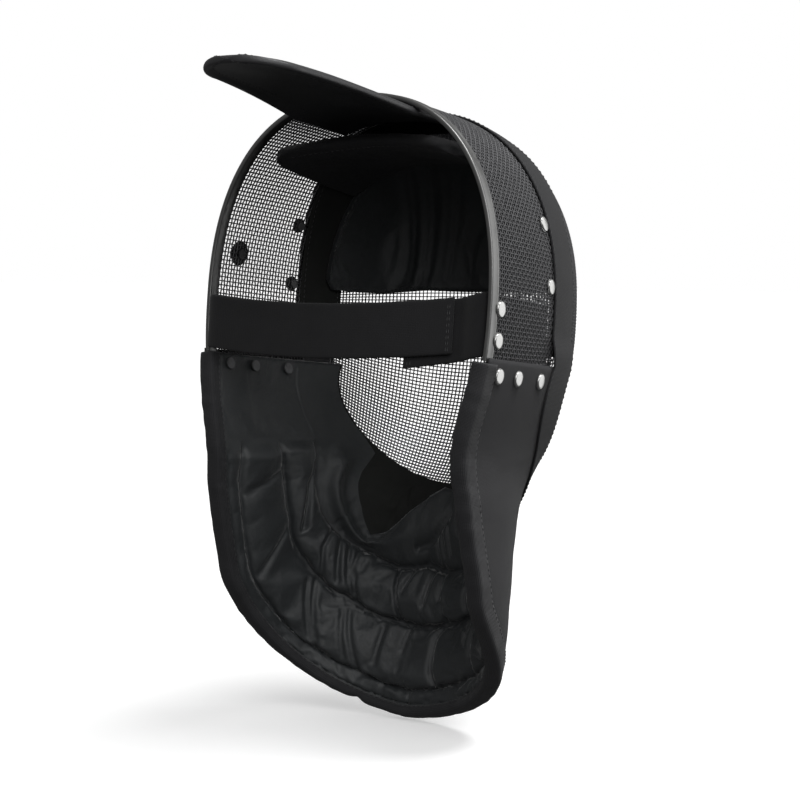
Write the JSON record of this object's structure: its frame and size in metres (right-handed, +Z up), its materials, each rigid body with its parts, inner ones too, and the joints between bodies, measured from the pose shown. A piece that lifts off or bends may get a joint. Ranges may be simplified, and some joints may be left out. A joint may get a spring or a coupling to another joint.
{
  "type": "fencing mask",
  "caption": "Black fencing mask with a wire mesh cage, padded fabric bib, rear strap and sprung tongue at the back of the crown.",
  "frame": {"origin": "the seat of the head: middle of the crown pad's underside, where the crown of the wearer's head bears", "axes": "+Z up as worn, -Y where the wearer looks, +X to the wearer's left; the mask's own axes are tipped 6.3 degrees nose down in this frame"},
  "size_m": [0.2376, 0.341, 0.4494],
  "materials": {
    "rim_steel": "satin",
    "rivet_steel": "polished",
    "mesh_wire": "satin",
    "black_cloth": "matt",
    "bib_fabric": "matt",
    "lining_satin": "satin",
    "tongue_vinyl": "semi-gloss",
    "strap_elastic": "matt",
    "button_plastic": "matt"
  },
  "bodies": {
    "root": {"rim_frame": "rim_steel", "rear_mesh": "mesh_wire", "face_mesh": "mesh_wire", "cover_band_outer": "black_cloth", "cover_band_inner": "black_cloth", "bib_shell": "bib_fabric", "bib_lining": "lining_satin", "hem_tape": "black_cloth", "tongue": "tongue_vinyl", "crown_pad": "black_cloth", "forehead_lining": "lining_satin", "head_strap": "strap_elastic", "strap_tab": "strap_elastic", "side_button": "button_plastic", "bib_rivet_left_1": "rivet_steel", "bib_rivet_left_2": "rivet_steel", "bib_rivet_left_3": "rivet_steel", "mesh_rivet_left_1": "rivet_steel", "mesh_rivet_left_2": "rivet_steel", "strap_rivet_left_1": "rivet_steel", "strap_rivet_left_2": "rivet_steel", "bib_rivet_right_1": "rivet_steel", "bib_rivet_right_2": "rivet_steel", "bib_rivet_right_3": "rivet_steel", "mesh_rivet_right_1": "rivet_steel", "mesh_rivet_right_2": "rivet_steel", "strap_rivet_right_1": "rivet_steel", "strap_rivet_right_2": "rivet_steel"}
  },
  "joints": []
}
